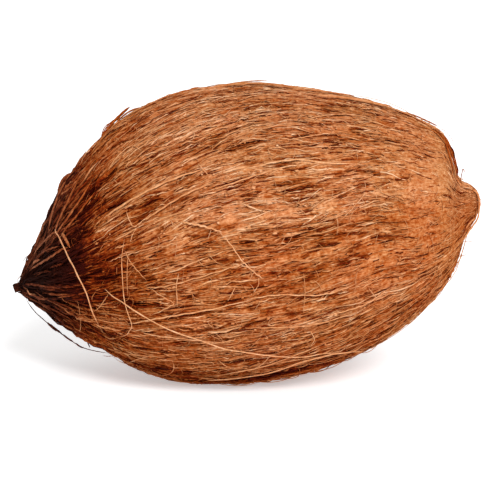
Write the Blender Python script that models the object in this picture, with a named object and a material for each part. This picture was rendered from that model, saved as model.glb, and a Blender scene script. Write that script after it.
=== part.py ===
"""A mature coconut with its coir husk partly stripped, lying on its side.

Metres, +Z up. The fruit's long axis runs along X: the pointed stem end is at -X and the
blunt crown end is at +X. The origin is on the surface that the fruit rests on, under the
middle of its bounding box. The fruit grew in one piece, so it is one solid.
"""

import math

import bmesh
import bpy
from mathutils import Matrix

# Driving dimensions
STEM_REACH = 0.0875        # from the widest ring to the stem point, along X
CROWN_REACH = 0.0893       # from the widest ring to the crown end, along X
GIRTH_RADIUS = 0.0566      # at the widest ring
RESTING_SPOT_DEPTH = 0.0015   # how far the belly is pressed flat where it rests

# How fast the radius falls away from the widest ring: (1 - reach ** swell) ** taper
STEM_SWELL = 2.59
STEM_TAPER = 0.944
CROWN_SWELL = 1.85
CROWN_TAPER = 0.503
STEM_STUB_RADIUS = 0.0016  # the broken stalk at the very point

# The line through the middle of the rings is not straight
BODY_LEAN = math.radians(2.7)   # the whole fruit leans up toward the crown
STEM_DROOP = 0.0164             # the stem point hangs below the lean
STEM_SWAY = 0.0030              # and turns a little toward +Y
STEM_BEND_START = 0.535         # as a share of the stem reach
CROWN_LIFT = 0.0100             # the crown sits above the lean
CROWN_LIFT_POWER = 2.95

# A coconut is slightly three-sided, here with one side underneath
LOBE_COUNT = 3
LOBE_HEIGHT = 0.018        # as a share of the radius
LOBE_ANGLE = math.radians(87)   # the first ridge, measured from +Y toward +Z

# The husk breaks off in a step on the upper side of the crown
STEP_START = 0.830         # as a share of the crown reach
STEP_END = 0.921
STEP_DEPTH = 0.55          # as a share of the radius there
STEP_ANGLE = math.radians(105)

# Two hollows on the underside: along the stem point, and a narrow one below the crown's lobe.
# Each has its deepest place (reach), how fast it dies away, its depth as a share of the
# radius, and the side it is on, measured from +Y toward +Z.
HOLLOWS = (
    (-0.98, 0.24, 0.426, math.radians(262)),
    (0.96, 0.047, 0.56, math.radians(275)),
)

# A shoulder where a coarse strip of husk stands up near the stem
SHOULDER_HEIGHT = 0.0040
SHOULDER_REACH = -0.79     # where along the fruit, 0 at the girth and -1 at the stem point
SHOULDER_LENGTH = 0.074    # how fast it dies away along the fruit
SHOULDER_ANGLE = math.radians(95)   # from +Y toward +Z

# Fineness of the surface
RING_SEGMENTS = 72
RINGS = 42


def smooth_step(low, high, value):
    """0 below low, 1 above high, with a soft rise between them."""
    share = min(max((value - low) / (high - low), 0.0), 1.0)
    return share * share * (3.0 - 2.0 * share)


def ring_radius(reach):
    """Radius at reach, which is -1 at the stem point, 0 at the girth and 1 at the crown."""
    if reach < 0.0:
        return GIRTH_RADIUS * max(1.0 - (-reach) ** STEM_SWELL, 0.0) ** STEM_TAPER
    return GIRTH_RADIUS * max(1.0 - reach ** CROWN_SWELL, 0.0) ** CROWN_TAPER


def ring_centre(reach):
    """The middle of the ring at reach, as x, y and z."""
    toward_stem = max(-reach, 0.0)
    toward_crown = max(reach, 0.0)
    stem_bend = smooth_step(STEM_BEND_START, 1.0, toward_stem)
    x = CROWN_REACH * toward_crown - STEM_REACH * toward_stem
    y = STEM_SWAY * stem_bend
    lift = CROWN_LIFT * toward_crown ** CROWN_LIFT_POWER
    z = x * math.tan(BODY_LEAN) - STEM_DROOP * stem_bend + lift
    return x, y, z


def shoulder_height(reach, angle):
    """How far the shoulder stands out of the surface."""
    along = (reach - SHOULDER_REACH) / SHOULDER_LENGTH
    upper_side = smooth_step(0.0, 0.9, math.cos(angle - SHOULDER_ANGLE))
    return SHOULDER_HEIGHT * math.exp(-along * along) * upper_side


def hollow_factor(reach, angle):
    """How much of the radius the hollows on the underside leave."""
    factor = 1.0
    for deepest, length, depth, side in HOLLOWS:
        along = (reach - deepest) / length
        factor *= 1.0 - depth * math.exp(-along * along) * smooth_step(0.0, 0.9, math.cos(angle - side))
    return factor


def outline_factor(reach, angle):
    """How much the three sides, the step at the crown and the hollows change the radius."""
    lobes = 1.0 + LOBE_HEIGHT * math.cos(LOBE_COUNT * (angle - LOBE_ANGLE))
    upper_side = smooth_step(-0.2, 0.8, math.cos(angle - STEP_ANGLE))
    step = STEP_DEPTH * smooth_step(STEP_START, STEP_END, reach) * upper_side
    return lobes * (1.0 - step) * hollow_factor(reach, angle)


def shape_fruit(mesh_data):
    """Turn a unit sphere with its poles on X into the fruit."""
    for vertex in mesh_data.verts:
        reach, across, up = vertex.co
        centre_x, centre_y, centre_z = ring_centre(reach)
        at_pole = math.hypot(across, up) < 1e-5
        angle = math.atan2(up, across)
        radius = ring_radius(reach) * outline_factor(reach, angle) + shoulder_height(reach, angle)
        radius = 0.0 if at_pole else max(radius, STEM_STUB_RADIUS)
        vertex.co.x = centre_x
        vertex.co.y = centre_y + radius * math.cos(angle)
        vertex.co.z = centre_z + radius * math.sin(angle)


def press_resting_spot(mesh_data):
    """Flatten the belly on one level plane."""
    level = min(vertex.co.z for vertex in mesh_data.verts) + RESTING_SPOT_DEPTH
    for vertex in mesh_data.verts:
        vertex.co.z = max(vertex.co.z, level)


def stand_on_origin(mesh_data):
    """Put the bottom middle of the bounding box at the origin."""
    corners = [[vertex.co[axis] for vertex in mesh_data.verts] for axis in range(3)]
    shift_x = -(min(corners[0]) + max(corners[0])) / 2.0
    shift_y = -(min(corners[1]) + max(corners[1])) / 2.0
    shift_z = -min(corners[2])
    bmesh.ops.translate(mesh_data, verts=mesh_data.verts, vec=(shift_x, shift_y, shift_z))


def coir_material():
    """Dry, dull, orange-brown coir."""
    material = bpy.data.materials.new("coir_husk")
    material.use_nodes = True
    shader = material.node_tree.nodes["Principled BSDF"]
    shader.inputs["Base Color"].default_value = (0.402, 0.133, 0.047, 1.0)
    shader.inputs["Roughness"].default_value = 0.85
    shader.inputs["Metallic"].default_value = 0.0
    return material


def build_coconut(collection):
    """The whole fruit, as one closed solid."""
    mesh_data = bmesh.new()
    poles_on_x = Matrix.Rotation(math.radians(90.0), 4, "Y")
    bmesh.ops.create_uvsphere(mesh_data, u_segments=RING_SEGMENTS, v_segments=RINGS,
                              radius=1.0, matrix=poles_on_x)
    shape_fruit(mesh_data)
    press_resting_spot(mesh_data)
    stand_on_origin(mesh_data)
    bmesh.ops.recalc_face_normals(mesh_data, faces=mesh_data.faces)
    mesh = bpy.data.meshes.new("coconut")
    mesh_data.to_mesh(mesh)
    mesh_data.free()
    mesh.shade_smooth()
    mesh.materials.append(coir_material())
    coconut = bpy.data.objects.new("coconut", mesh)
    collection.objects.link(coconut)
    return coconut


def main():
    for leftover in list(bpy.data.objects):
        bpy.data.objects.remove(leftover, do_unlink=True)
    collection = bpy.data.collections.new("Coconut")
    bpy.context.scene.collection.children.link(collection)
    build_coconut(collection)


main()
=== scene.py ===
import math

import bpy
import numpy as np
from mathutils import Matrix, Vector


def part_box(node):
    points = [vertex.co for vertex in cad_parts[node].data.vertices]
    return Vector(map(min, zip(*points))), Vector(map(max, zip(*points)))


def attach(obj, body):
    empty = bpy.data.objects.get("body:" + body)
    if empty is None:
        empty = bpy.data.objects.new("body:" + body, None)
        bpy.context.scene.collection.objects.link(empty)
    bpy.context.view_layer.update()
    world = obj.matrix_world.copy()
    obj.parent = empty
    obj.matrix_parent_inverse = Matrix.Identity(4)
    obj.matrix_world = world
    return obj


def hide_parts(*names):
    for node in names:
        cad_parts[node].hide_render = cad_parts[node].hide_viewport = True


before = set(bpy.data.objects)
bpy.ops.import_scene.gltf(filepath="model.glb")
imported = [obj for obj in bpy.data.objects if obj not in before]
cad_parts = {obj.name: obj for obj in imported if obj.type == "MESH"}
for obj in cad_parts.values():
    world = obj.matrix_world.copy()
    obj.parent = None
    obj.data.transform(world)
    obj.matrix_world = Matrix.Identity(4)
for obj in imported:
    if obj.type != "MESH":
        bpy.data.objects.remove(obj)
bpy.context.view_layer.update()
nodeLow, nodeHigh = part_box("coconut")
millimetre = 0.001
clearance = 0.00005        # how far every fibre stays above the floor


# The fruit's shape, in metres. Every fibre is laid on it.

fruit = {
    "stemReach": 0.0875,        # widest ring to the stem point
    "crownReach": 0.0893,       # widest ring to the crown
    "girthRadius": 0.0566,
    "stemSwell": 2.59, "stemTaper": 0.944,
    "crownSwell": 1.85, "crownTaper": 0.503,
    "lean": math.radians(2.7),  # up toward the crown
    "stemDroop": 0.0164, "stemSway": 0.0030, "stemBendStart": 0.535,
    "crownLift": 0.0100, "crownLiftPower": 2.95,
    "lobes": 3, "lobeHeight": 0.018, "lobeAngle": math.radians(87),
    "stepStart": 0.830, "stepEnd": 0.921, "stepDepth": 0.55, "stepAngle": math.radians(105),
    "shoulder": 0.0040, "shoulderReach": -0.79, "shoulderLength": 0.074,
    "shoulderAngle": math.radians(95),
    "flow": math.radians(2.6),  # how far the fibres drift from side to side
}

# Hollows on the underside: reach, length, depth as a share of the radius, and the side
hollows = [
    (-0.98, 0.24, 0.426, math.radians(262)),
    (0.96, 0.047, 0.56, math.radians(275)),
]

# Where the fibres sweep sideways: fibre line, width, from and to as a reach, turn, angles in degrees
sweeps = [
    (158, 42, -0.80, 0.05, -11),
    (20, 50, -0.60, 0.30, 7),
    (290, 45, -0.70, 0.20, -6),
]

# Where the loose fibres cut across those lines: fibre line, width, from and to along the fruit, turn
leans = [
    (120, 35, 0.20, 0.60, -18),
    (158, 42, 0.10, 0.54, 2.5),
    (185, 35, 0.20, 0.60, 5),
    (188, 24, 0.70, 0.88, 8),
]


def smoothStep(low, high, value):
    share = np.clip((value - low) / (high - low), 0.0, 1.0)
    return share * share * (3.0 - 2.0 * share)


def softNoise(around, along, cells, rows, seed):
    # smooth random hills from -1 to 1; around wraps at 1, along runs from 0 to 1
    grid = np.random.default_rng(seed).uniform(-1.0, 1.0, (rows + 2, cells))
    u = np.asarray(around) * cells
    v = np.clip(along, 0.0, 1.0) * rows
    column = np.floor(u).astype(int)
    row = np.floor(v).astype(int)
    du = u - column
    dv = v - row
    du = du * du * (3.0 - 2.0 * du)
    dv = dv * dv * (3.0 - 2.0 * dv)
    left, right = column % cells, (column + 1) % cells
    near = grid[row, left] * (1.0 - du) + grid[row, right] * du
    far = grid[row + 1, left] * (1.0 - du) + grid[row + 1, right] * du
    return near * (1.0 - dv) + far * dv


def apartFrom(grain, line):
    # the angle between two fibre lines, from -pi to pi
    return (grain - line + math.pi) % (2.0 * math.pi) - math.pi


def leanAt(along, grain):
    # how far a fibre has strayed sideways from its fibre line
    stray = 0.0 * (along + grain)
    for line, width, start, end, turn in leans:
        window = np.exp(-(apartFrom(grain, math.radians(line)) / math.radians(width)) ** 2)
        stray = stray + math.radians(turn) * window * smoothStep(start, end, along)
    return stray


def ringRadius(reach):
    toStem = np.clip(-reach, 0.0, 1.0)
    toCrown = np.clip(reach, 0.0, 1.0)
    stem = (1.0 - toStem ** fruit["stemSwell"]) ** fruit["stemTaper"]
    crown = (1.0 - toCrown ** fruit["crownSwell"]) ** fruit["crownTaper"]
    return fruit["girthRadius"] * np.where(reach < 0.0, stem, crown)


def ringCentre(reach):
    toStem = np.clip(-reach, 0.0, 1.0)
    toCrown = np.clip(reach, 0.0, 1.0)
    bend = smoothStep(fruit["stemBendStart"], 1.0, toStem)
    x = fruit["crownReach"] * toCrown - fruit["stemReach"] * toStem
    y = fruit["stemSway"] * bend
    z = x * math.tan(fruit["lean"]) - fruit["stemDroop"] * bend
    z = z + fruit["crownLift"] * toCrown ** fruit["crownLiftPower"]
    return x, y, z


# Distance along the surface from the stem point, so that fibres have even steps
tableReach = -np.cos(np.linspace(0.0, math.pi, 1200))
tableX = ringCentre(tableReach)[0]
tableSteps = np.hypot(np.diff(tableX), np.diff(ringRadius(tableReach)))
tableLength = np.concatenate([[0.0], np.cumsum(tableSteps)])
meridian = float(tableLength[-1])


def reachAt(along):
    return np.interp(np.clip(along, 0.0, 1.0) * meridian, tableLength, tableReach)


def ringSize(along):
    return np.maximum(ringRadius(reachAt(along)), 0.004)


def rawPoint(along, grain):
    # along: 0 at the stem point, 1 at the crown; grain: which fibre line, in radians
    reach = reachAt(along)
    turns = grain / (2.0 * math.pi)
    line = grain + 0.0 * reach
    for middle, width, start, end, turn in sweeps:
        window = np.exp(-(apartFrom(grain, math.radians(middle)) / math.radians(width)) ** 2)
        line = line + math.radians(turn) * window * smoothStep(start, end, reach)
    line = line + fruit["flow"] * softNoise(turns, along, 7, 4, 11)
    line = line + 0.4 * fruit["flow"] * softNoise(turns, along, 17, 7, 12)
    radius = ringRadius(reach)
    x, y, z = ringCentre(reach)
    stemX, stemY, stemZ = ringCentre(np.array(-1.0))
    crownX, crownY, crownZ = ringCentre(np.array(1.0))
    share = (x - stemX) / (crownX - stemX)
    offY = y - (stemY + share * (crownY - stemY))   # ring centre off the stem-to-crown line
    offZ = z - (stemZ + share * (crownZ - stemZ))
    dirY, dirZ = np.cos(line), np.sin(line)
    dot = dirY * offY + dirZ * offZ
    far = dot + np.sqrt(np.maximum(dot * dot - offY ** 2 - offZ ** 2 + radius ** 2, 1e-12))
    angle = np.arctan2(far * dirZ - offZ, far * dirY - offY)
    lobes = 1.0 + fruit["lobeHeight"] * np.cos(fruit["lobes"] * (angle - fruit["lobeAngle"]))
    upper = smoothStep(-0.2, 0.8, np.cos(angle - fruit["stepAngle"]))
    step = fruit["stepDepth"] * smoothStep(fruit["stepStart"], fruit["stepEnd"], reach) * upper
    shoulder = np.exp(-((reach - fruit["shoulderReach"]) / fruit["shoulderLength"]) ** 2)
    shoulder = fruit["shoulder"] * shoulder * smoothStep(0.0, 0.9, np.cos(angle - fruit["shoulderAngle"]))
    radius = radius * lobes * (1.0 - step)
    for deepest, length, depth, side in hollows:
        hollow = np.exp(-((reach - deepest) / length) ** 2)
        radius = radius * (1.0 - depth * hollow * smoothStep(0.0, 0.9, np.cos(angle - side)))
    radius = radius + shoulder
    return np.stack([x + 0.0 * angle, y + radius * np.cos(angle), z + radius * np.sin(angle)], -1)


# The shape goes to the frame's own place
gridAlong, gridGrain = np.meshgrid(np.linspace(0, 1, 200), np.linspace(0, 2 * math.pi, 200))
rawShape = rawPoint(gridAlong, gridGrain).reshape(-1, 3)
shapeShift = (np.array(nodeLow) + np.array(nodeHigh) - rawShape.min(0) - rawShape.max(0)) / 2.0
shapeShift[2] = nodeHigh.z - rawShape[:, 2].max()


def fruitPoint(along, grain):
    return rawPoint(along, grain) + shapeShift


def fruitNormal(along, grain):
    tiny = 0.002
    ahead = rawPoint(np.clip(along + tiny, 0, 1), grain) - rawPoint(np.clip(along - tiny, 0, 1), grain)
    aside = rawPoint(along, grain + 0.01) - rawPoint(along, grain - 0.01)
    normal = np.cross(aside, ahead)
    length = np.linalg.norm(normal, axis=-1, keepdims=True)
    return normal / np.maximum(length, 1e-12)


# Ropes and grooves that run with the fibres

relief = {
    "rope": 0.00040, "ropeCells": 58, "ropeRows": 5,        # broad ropes, about 6 mm apart
    "ridge": 0.00028, "ridgeCells": 150, "ridgeRows": 10,   # bundles, about 2.4 mm apart
    "groove": 0.00020, "grooveCells": 300, "grooveRows": 24,
    "split": 0.00070, "splitFrom": 0.36, "splitTo": 0.72,   # short open splits, in two sizes
    "splitCells": (300, 430), "splitRows": (34, 62),
    "stemBoost": 1.6,                                       # coarser toward the stem point
    # painted shade: hills are coloured lighter, and splits and deep-lying strands darker, by their depth
    "hillShadeTone": 110.0, "splitShadeTone": 270.0, "sunkShadeTone": 260.0,   # how much tone a metre of depth takes
}

# Long splits: start and end along the fruit, their fibre lines in degrees, half width and depth in mm
longSplits = [
    (0.438, 0.498, 157.5, 156.4, 0.55, 0.8), (0.517, 0.615, 149.6, 149.8, 0.6, 0.9),
    (0.555, 0.6, 155.4, 154.6, 0.45, 1), (0.56, 0.613, 139, 136, 0.5, 1),
    (0.44, 0.515, 133.4, 128, 0.45, 0.8), (0.468, 0.542, 142.5, 139, 0.45, 1),
    (0.458, 0.487, 140.6, 138, 0.5, 0.8), (0.49, 0.515, 117.5, 114.6, 0.4, 0.7),
    (0.537, 0.578, 119.5, 118.6, 0.4, 0.8), (0.608, 0.648, 113.2, 110, 0.5, 0.8),
    (0.613, 0.69, 120, 116.6, 0.6, 1), (0.66, 0.693, 131, 130.4, 0.45, 0.9),
    (0.61, 0.665, 146.2, 145.8, 0.45, 0.7), (0.642, 0.723, 153, 152.4, 0.5, 0.8),
    (0.652, 0.708, 158, 159.4, 0.5, 0.7), (0.55, 0.633, 163.2, 163, 0.6, 1),
    (0.557, 0.613, 167, 167, 0.45, 1), (0.478, 0.517, 163.4, 162.6, 0.45, 1),
    (0.486, 0.512, 165, 164.4, 0.4, 0.9), (0.482, 0.53, 175, 174.8, 0.5, 1),
    (0.53, 0.642, 175, 176.5, 0.35, 0.6), (0.295, 0.34, 112.2, 112, 0.6, 1.1),
    (0.253, 0.303, 113, 117, 0.9, 1.1), (0.352, 0.432, 139.6, 133.2, 0.4, 0.9),
    (0.333, 0.354, 134, 132.4, 0.9, 0.9), (0.278, 0.318, 131, 134, 0.7, 0.9),
    (0.318, 0.352, 154.2, 152.2, 0.9, 1.2), (0.305, 0.352, 158.2, 157, 0.7, 1),
    (0.25, 0.306, 146, 148.4, 1.1, 1.1), (0.375, 0.404, 157, 158, 0.7, 0.8),
    (0.413, 0.446, 175.6, 175, 0.45, 1), (0.372, 0.44, 195, 195.2, 0.5, 1.1),
    (0.395, 0.464, 201.6, 202, 0.5, 1), (0.265, 0.295, 187, 188, 0.6, 0.9),
    (0.288, 0.36, 188, 190.2, 0.95, 1.4), (0.23, 0.288, 175.6, 177.6, 1.1, 1),
    (0.428, 0.455, 204.4, 205.2, 0.9, 1.3), (0.482, 0.533, 203, 203.6, 0.55, 1.1),
    (0.562, 0.64, 197.2, 201.5, 0.55, 1), (0.496, 0.518, 197.6, 197.4, 0.5, 0.9),
    (0.612, 0.663, 205.4, 208.4, 0.45, 1), (0.663, 0.71, 208.4, 211, 0.45, 0.9),
    (0.638, 0.667, 191.4, 191.6, 0.8, 1), (0.669, 0.698, 191, 192, 0.5, 0.9),
    (0.526, 0.566, 188, 190, 0.6, 0.7), (0.556, 0.586, 203, 204, 0.65, 1.1),
    (0.606, 0.642, 183.4, 184, 0.8, 0.6), (0.521, 0.581, 182, 182.6, 0.45, 0.8),
    (0.697, 0.785, 179.5, 184, 0.45, 0.7), (0.709, 0.766, 186, 188, 0.4, 0.8),
    (0.739, 0.771, 163.4, 162.4, 0.55, 1), (0.659, 0.698, 164.4, 165, 0.4, 0.8),
    (0.88, 0.9, 156, 154, 0.8, 1), (0.143, 0.18, 127.5, 111.5, 0.95, 2.6),
    (0.06, 0.125, 154.5, 163, 1.1, 2), (0.118, 0.172, 159.5, 161.5, 1, 1.8),
    (0.12, 0.15, 147, 152, 0.7, 1.6), (0.6, 0.735, 103.5, 101.5, 0.8, 1.2),
    (0.61, 0.7, 112, 106.5, 0.7, 1.2), (0.862, 0.912, 166, 146, 0.5, 1),
    (0.898, 0.912, 160, 158, 0.6, 1), (0.835, 0.87, 173, 174.5, 0.45, 0.8),
    (0.207, 0.226, 128, 126.4, 1.3, 1.4), (0.203, 0.234, 136.4, 137, 1, 1.4),
    (0.064, 0.156, 160, 160.2, 1.1, 1.8), (0.23, 0.286, 167.4, 170.4, 0.6, 0.8),
    (0.325, 0.402, 221.4, 226.4, 0.9, 1.1),
]

# Darker patches, and lighter ones below zero: along, fibre line, length and width in mm, how much
stains = [
    (0.204, 142, 9, 3.6, 0.34), (0.212, 127, 6, 2.2, 0.26), (0.187, 153, 9, 4.5, 0.28),
    (0.2, 165, 12, 5, 0.26), (0.13, 149, 8, 2.2, 0.3), (0.092, 159, 14, 3.4, 0.34),
    (0.17, 165, 12, 6, 0.26), (0.14, 176, 24, 9, 0.22), (0.19, 184, 10, 4, 0.2),
    (0.235, 183, 10, 3, 0.24), (0.235, 175, 16, 4, 0.14), (0.29, 184, 20, 4, 0.08),
    (0.275, 146, 10, 3, 0.12), (0.335, 153, 8, 2.5, 0.1), (0.57, 164, 22, 3, 0.07),
    (0.73, 181, 45, 5, 0.05), (0.88, 196, 22, 9, 0.06), (0.08, 205, 22, 10, 0.12),
    (0.16, 208, 20, 8, 0.06), (0.3, 230, 30, 6, 0.12), (0.4, 238, 30, 7, 0.14),
    (0.5, 243, 22, 4.5, 0.26), (0.58, 241, 22, 4.5, 0.26), (0.64, 245, 16, 3.5, 0.14),
    (0.58, 102, 40, 7, -0.07), (0.45, 126, 45, 12, -0.12), (0.385, 146, 35, 11, -0.06),
    (0.51, 167, 40, 7.5, -0.14), (0.66, 172, 45, 7.5, -0.07), (0.64, 212, 45, 9, -0.12),
    (0.52, 208, 40, 8, -0.06), (0.48, 149, 30, 5, -0.05), (0.42, 300, 40, 10, 0.08),
    (0.26, 40, 30, 10, 0.12), (0.7, 20, 40, 12, -0.06),
]


# Smooth patches of pith: along, fibre line in degrees, length and width in mm
pithPatches = [
    (0.56, 103, 18, 5), (0.62, 98, 20, 4), (0.41, 120, 14, 3.5),
    (0.33, 142, 7, 2.5), (0.69, 196, 20, 6), (0.45, 60, 30, 9),
    (0.65, 330, 35, 10), (0.52, 10, 30, 8), (0.38, 290, 30, 8),
]


def makeSplits():
    # the placed splits, and more of the same kind over the rest of the fruit
    random = np.random.default_rng(61)
    splits = list(longSplits)
    while len(splits) < len(longSplits) + 110:
        start, grain = random.uniform(0.12, 0.84), random.uniform(0.0, 360.0)
        if start > 0.23 and 110.0 < grain < 225.0:
            continue
        length, drift = random.uniform(0.025, 0.085), random.uniform(-1.5, 1.5)
        width, depth = random.uniform(0.4, 0.9), random.uniform(0.7, 1.2)
        splits.append((start, start + length, grain, grain + drift, width, depth))
    return splits


allSplits = makeSplits()


def splitDepth(along, grain):
    along, grain = np.broadcast_arrays(along, grain)
    depth = np.zeros(along.shape)
    ring = ringSize(along)
    for start, end, fromGrain, toGrain, width, deep in allSplits:
        near = (along > start - 0.01) & (along < end + 0.01)
        share = (along[near] - start) / (end - start)
        line = np.radians(fromGrain + (toGrain - fromGrain) * share)
        apart = apartFrom(grain[near], line) * ring[near]
        ends = smoothStep(-0.1, 0.2, share) * smoothStep(1.1, 0.8, share)
        cut = deep * millimetre * ends * np.exp(-(apart / (width * millimetre)) ** 2)
        depth[near] = np.maximum(depth[near], cut)
    turns = (grain - leanAt(along, grain)) / (2.0 * math.pi)
    calm = 1.0 - 0.75 * pithAt(along, grain)
    for number, (cells, rows) in enumerate(zip(relief["splitCells"], relief["splitRows"])):
        short = softNoise(turns, along, cells, rows, 24 + number)
        short = relief["split"] * calm * smoothStep(relief["splitFrom"], relief["splitTo"], short)
        depth = np.maximum(depth, short)
    return depth


def patchAt(along, grain, place, degrees, length, width):
    # 1 in the middle of a soft-edged patch, falling to 0 around it
    far = ((along - place) * meridian / (length * millimetre)) ** 2
    aside = apartFrom(grain, math.radians(degrees)) * ringSize(along)
    return np.exp(-far - (aside / (width * millimetre)) ** 2)


def pithAt(along, grain):
    # 1 where the husk is smooth and pithy: toward the crown, and in patches elsewhere
    side = 0.55 + 0.45 * np.cos(apartFrom(grain, math.radians(150)))
    patch = 0.0 * along
    for place in pithPatches:
        patch = np.maximum(patch, 0.9 * patchAt(along, grain, *place))
    return np.maximum(smoothStep(0.66, 0.86, along) * side, patch)


def hillHeight(along, grain):
    turns = (grain - leanAt(along, grain)) / (2.0 * math.pi)
    height = relief["rope"] * softNoise(turns, along, relief["ropeCells"], relief["ropeRows"], 21)
    for seed, kind in ((22, "ridge"), (23, "groove")):
        cells, rows = relief[kind + "Cells"], relief[kind + "Rows"]
        height = height + relief[kind] * softNoise(turns, along, cells, rows, seed)
    stem = smoothStep(0.0, 0.05, along) * smoothStep(0.30, 0.16, along)
    ends = smoothStep(0.0, 0.03, along) * smoothStep(1.0, 0.92, along)
    height = height * (0.3 + 0.7 * ends) * (1.0 + relief["stemBoost"] * stem)
    return height * (1.0 - 0.45 * pithAt(along, grain))


# How much darker the fibre gets: at the stem and all round it, on its darkest side, and underneath, where
# it is painted shade
darker = {
    "stem": 0.27, "stemFade": (0.25, 0.08), "stemWide": 0.20, "stemWideFade": (0.43, 0.15),
    "side": math.radians(156), "sideWidth": 0.42, "sideShare": 0.38,
    "under": 0.15, "patch": 0.02, "patchShare": 0.3, "pith": 0.01,
}


def stainAndUnderShadeAt(along, grain):
    # how much darker the fibre is: toward the stem and in the placed patches, and underneath, where the
    # darkening is painted shade
    along, grain = np.broadcast_arrays(along, grain)
    under = smoothStep(-0.2, 0.9, -np.sin(grain))
    patch = softNoise(grain / (2.0 * math.pi), along, 9, 6, 31)
    side = np.exp(-(apartFrom(grain, darker["side"]) / darker["sideWidth"]) ** 2)
    side = 1.0 - darker["sideShare"] * (1.0 - side)
    stainAndShade = darker["stem"] * side * smoothStep(*darker["stemFade"], along)
    stainAndShade = stainAndShade + darker["stemWide"] * smoothStep(*darker["stemWideFade"], along)
    stainAndShade = stainAndShade * (1.0 + darker["patchShare"] * patch)
    # painted shade: the underside is made darker in colour
    stainAndShade = stainAndShade + darker["under"] * under + darker["patch"] * patch
    for *place, amount in stains:
        stainAndShade = stainAndShade + amount * patchAt(along, grain, *place)
    return stainAndShade + darker["pith"] * pithAt(along, grain)


def readRelief(along, grain):
    # the surface's height, and how much lighter or darker it is there: painted shade, lighter on the hills
    # and darker in the splits, with the stains and the painted underside shade
    hills, splits = hillHeight(along, grain), splitDepth(along, grain)
    shade = relief["hillShadeTone"] * hills - relief["splitShadeTone"] * splits - stainAndUnderShadeAt(along, grain)
    return hills - splits, shade


def deselectAll():
    if bpy.context.object and bpy.context.object.mode != "OBJECT":
        bpy.ops.object.mode_set(mode="OBJECT")
    bpy.ops.object.select_all(action="DESELECT")


def readPoints(mesh):
    points = np.empty(len(mesh.vertices) * 3)
    mesh.vertices.foreach_get("co", points)
    return points.reshape(-1, 3)


def addNumbers(mesh, name, values):
    attribute = mesh.attributes.new(name, "FLOAT", "POINT")
    attribute.data.foreach_set("value", np.asarray(values, np.float32).ravel())


def addPlaces(mesh, name, places):
    attribute = mesh.attributes.new(name, "FLOAT_VECTOR", "POINT")
    attribute.data.foreach_set("vector", np.asarray(places, np.float32).ravel())


# Materials

coir = {
    "squeeze": 0.15,           # the streaks are this much shorter in pattern space than on the fibre
    "streakScale": 1700.0,
    "speckleScale": 900.0,
    "blushScale": 55.0, "blushRange": (0.40, 0.62),
    "roughness": 0.82, "shine": 0.03,
    "weatheredFrom": -0.057, "weatheredTo": -0.076,   # duller toward the stem point, along X
    "ramps": ("tan", "russet", "weathered"),
    "tan": [
        (0.00, (0.042, 0.003, 0.001)),
        (0.20, (0.160, 0.017, 0.001)),
        (0.40, (0.310, 0.070, 0.010)),
        (0.60, (0.450, 0.165, 0.054)),
        (0.80, (0.585, 0.278, 0.124)),
        (1.00, (0.730, 0.435, 0.250)),
    ],
    "russet": [
        (0.00, (0.044, 0.003, 0.001)),
        (0.20, (0.163, 0.015, 0.001)),
        (0.40, (0.312, 0.062, 0.008)),
        (0.60, (0.452, 0.150, 0.049)),
        (0.80, (0.590, 0.258, 0.115)),
        (1.00, (0.730, 0.418, 0.240)),
    ],
    "weathered": [
        (0.00, (0.018, 0.004, 0.002)),
        (0.20, (0.090, 0.019, 0.007)),
        (0.40, (0.190, 0.056, 0.025)),
        (0.60, (0.340, 0.128, 0.062)),
        (0.80, (0.540, 0.250, 0.125)),
        (1.00, (0.720, 0.430, 0.260)),
    ],
}


def newMaterial(name):
    material = bpy.data.materials.new(name)
    material.use_nodes = True
    nodes = material.node_tree.nodes
    return material, nodes, material.node_tree.links, nodes["Principled BSDF"]


def addRamp(nodes, links, source, stops):
    ramp = nodes.new("ShaderNodeValToRGB")
    elements = ramp.color_ramp.elements
    while len(elements) < len(stops):
        elements.new(0.5)
    for element, (position, colour) in zip(elements, stops):
        element.position = position
        element.color = (*colour, 1.0)
    links.new(source, ramp.inputs["Fac"])
    return ramp.outputs["Color"]


def addNoise(nodes, links, source, scale, detail):
    noise = nodes.new("ShaderNodeTexNoise")
    noise.inputs["Scale"].default_value = scale
    noise.inputs["Detail"].default_value = detail
    links.new(source, noise.inputs["Vector"])
    return noise.outputs["Fac"]


def addSpread(nodes, links, source, amount, total):
    # total + amount * (source - 0.5)
    centred = nodes.new("ShaderNodeMath")
    centred.operation = "MULTIPLY_ADD"
    centred.inputs[1].default_value = amount
    centred.inputs[2].default_value = -0.5 * amount
    links.new(source, centred.inputs[0])
    summed = nodes.new("ShaderNodeMath")
    summed.operation = "ADD"
    links.new(total, summed.inputs[0])
    links.new(centred.outputs["Value"], summed.inputs[1])
    return summed.outputs["Value"]


def addAttribute(nodes, name):
    attribute = nodes.new("ShaderNodeAttribute")
    attribute.attribute_name = name
    return attribute.outputs


def addRange(nodes, links, source, low, high):
    # 0 where the source is at low, 1 where it is at high
    share = nodes.new("ShaderNodeMapRange")
    share.inputs["From Min"].default_value = low
    share.inputs["From Max"].default_value = high
    links.new(source, share.inputs["Value"])
    return share.outputs["Result"]


def addMix(nodes, links, factor, first, second):
    mix = nodes.new("ShaderNodeMix")
    mix.data_type = "RGBA"
    links.new(factor, mix.inputs["Factor"])
    links.new(first, mix.inputs["A"])
    links.new(second, mix.inputs["B"])
    return mix.outputs["Result"]


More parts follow.
